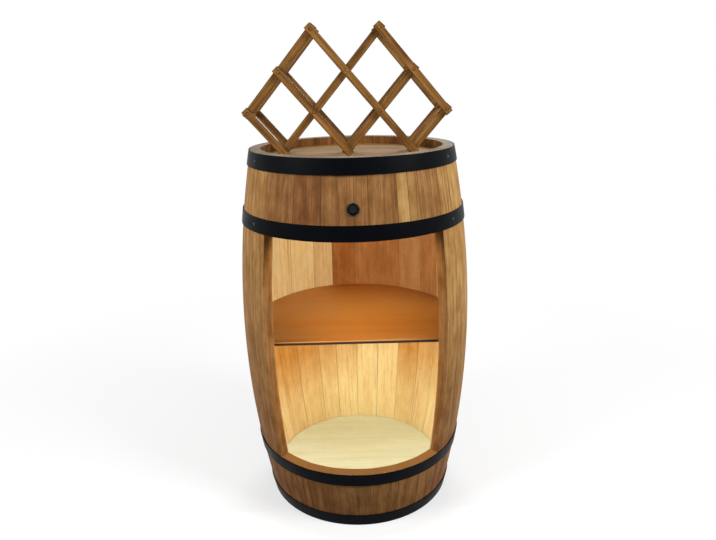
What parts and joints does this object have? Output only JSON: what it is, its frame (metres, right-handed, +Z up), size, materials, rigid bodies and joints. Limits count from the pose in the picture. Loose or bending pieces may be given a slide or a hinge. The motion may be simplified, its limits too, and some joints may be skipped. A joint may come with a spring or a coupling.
{
  "type": "barrel bar cabinet",
  "caption": "Upright wooden barrel with black hoops and a lit front opening with a shelf, a round switch above it, and a folding lattice bottle rack standing on its recessed head.",
  "frame": {"origin": "bottom centre of the box that holds the whole part, on the floor, 7.4 mm in front of the barrel's own axis", "axes": "+Z up, -Y towards the front opening and the switch, +X to the right as seen from the front"},
  "size_m": [0.514, 0.4992, 1.0459],
  "materials": {
    "golden_staves": "satin, golden brown oak with vertical grain",
    "front_staves": "satin, redder brown oak with vertical grain",
    "head_boards": "matt, pale beige boards",
    "shelf_board": "satin orange-brown board",
    "hoop_steel": "satin black",
    "rack_wood": "satin, medium brown stain",
    "black_plastic": "satin black",
    "light_strip": "glowing warm white",
    "wire_sheath": "matt black"
  },
  "bodies": {
    "barrel": {"stave_pair_1": "golden_staves", "stave_pair_2": "golden_staves", "stave_pair_3": "golden_staves", "stave_pair_4": "golden_staves", "stave_pair_5": "golden_staves", "stave_pair_6": "golden_staves", "stave_pair_7": "golden_staves", "stave_pair_8": "golden_staves", "stave_pair_9": "golden_staves", "lower_front_staves_left": "front_staves", "lower_front_staves_centre": "front_staves", "lower_front_staves_right": "front_staves", "upper_front_staves_left": "front_staves", "upper_front_staves_centre": "front_staves", "upper_front_staves_right": "front_staves", "hoop_bottom_end": "hoop_steel", "hoop_bottom_inner": "hoop_steel", "hoop_top_inner": "hoop_steel", "hoop_top_end": "hoop_steel", "top_head": "head_boards", "bottom_head": "head_boards", "ceiling_board": "golden_staves", "bar_shelf": "shelf_board", "upper_light_strip": "light_strip", "lower_light_strip": "light_strip", "switch_housing": "black_plastic", "power_socket": "black_plastic", "lamp_controller": "black_plastic", "switch_wire": "wire_sheath", "upper_strip_wire": "wire_sheath", "lower_strip_wire": "wire_sheath"},
    "rocker": {"switch_rocker": "black_plastic"},
    "rack_foot": {"rack_dowel_bottom_centre": "rack_wood"},
    "fall_2": {"rack_fall_2_front": "rack_wood", "rack_fall_2_back": "rack_wood", "rack_dowel_lower_left": "rack_wood", "rack_dowel_middle_left": "rack_wood"},
    "rise_3": {"rack_rise_3_front": "rack_wood", "rack_rise_3_back": "rack_wood", "rack_dowel_lower_right": "rack_wood", "rack_dowel_middle_right": "rack_wood"},
    "rise_2": {"rack_rise_2_front": "rack_wood", "rack_rise_2_back": "rack_wood", "rack_dowel_bottom_left": "rack_wood", "rack_dowel_middle_centre": "rack_wood", "rack_dowel_top_right": "rack_wood"},
    "fall_3": {"rack_fall_3_front": "rack_wood", "rack_fall_3_back": "rack_wood", "rack_dowel_bottom_right": "rack_wood", "rack_dowel_top_left": "rack_wood"},
    "fall_1": {"rack_fall_1_front": "rack_wood", "rack_fall_1_back": "rack_wood", "rack_dowel_lower_far_left": "rack_wood"},
    "rise_1": {"rack_rise_1_front": "rack_wood", "rack_rise_1_back": "rack_wood"},
    "fall_4": {"rack_fall_4_front": "rack_wood", "rack_fall_4_back": "rack_wood"},
    "rise_4": {"rack_rise_4_front": "rack_wood", "rack_rise_4_back": "rack_wood", "rack_dowel_lower_far_right": "rack_wood"}
  },
  "joints": [
    {"name": "switch_rock", "type": "hinge", "parent": "barrel", "child": "rocker", "pos_m": [0, -0.23557, 0.71848], "axis": [1, 0, 0], "range_deg": [0, 20]},
    {"name": "rack_lift", "type": "slide", "parent": "barrel", "child": "rack_foot", "axis": [0, 0, 1], "range_m": [0, 0.25]},
    {"name": "rack_fold", "type": "hinge", "parent": "rack_foot", "child": "fall_2", "pos_m": [-0.007, -0.00737, 0.8048], "axis": [0, 1, 0], "range_deg": [-8, 33]},
    {"name": "rise_3_turn", "type": "hinge", "parent": "rack_foot", "child": "rise_3", "pos_m": [-0.007, -0.00737, 0.8048], "axis": [0, 1, 0], "range_deg": [-33, 8]},
    {"name": "rise_2_turn", "type": "hinge", "parent": "fall_2", "child": "rise_2", "pos_m": [-0.07326, -0.00737, 0.88103], "axis": [0, 1, 0], "range_deg": [-66, 16]},
    {"name": "fall_3_turn", "type": "hinge", "parent": "rise_3", "child": "fall_3", "pos_m": [0.05926, -0.00737, 0.88103], "axis": [0, 1, 0], "range_deg": [-16, 66]},
    {"name": "fall_1_turn", "type": "hinge", "parent": "rise_2", "child": "fall_1", "pos_m": [-0.13952, -0.00737, 0.8048], "axis": [0, 1, 0], "range_deg": [-16, 66]},
    {"name": "rise_1_turn", "type": "hinge", "parent": "fall_2", "child": "rise_1", "pos_m": [-0.13952, -0.00737, 0.95725], "axis": [0, 1, 0], "range_deg": [-66, 16]},
    {"name": "fall_4_turn", "type": "hinge", "parent": "rise_3", "child": "fall_4", "pos_m": [0.12552, -0.00737, 0.95725], "axis": [0, 1, 0], "range_deg": [-16, 66]},
    {"name": "rise_4_turn", "type": "hinge", "parent": "fall_3", "child": "rise_4", "pos_m": [0.12552, -0.00737, 0.8048], "axis": [0, 1, 0], "range_deg": [-66, 16]}
  ],
  "couplings": [
    {"joint": "rise_3_turn", "follows": "rack_fold", "ratio": -1},
    {"joint": "rise_2_turn", "follows": "rack_fold", "ratio": -2},
    {"joint": "fall_3_turn", "follows": "rack_fold", "ratio": 2},
    {"joint": "fall_1_turn", "follows": "rack_fold", "ratio": 2},
    {"joint": "rise_1_turn", "follows": "rack_fold", "ratio": -2},
    {"joint": "fall_4_turn", "follows": "rack_fold", "ratio": 2},
    {"joint": "rise_4_turn", "follows": "rack_fold", "ratio": -2}
  ]
}
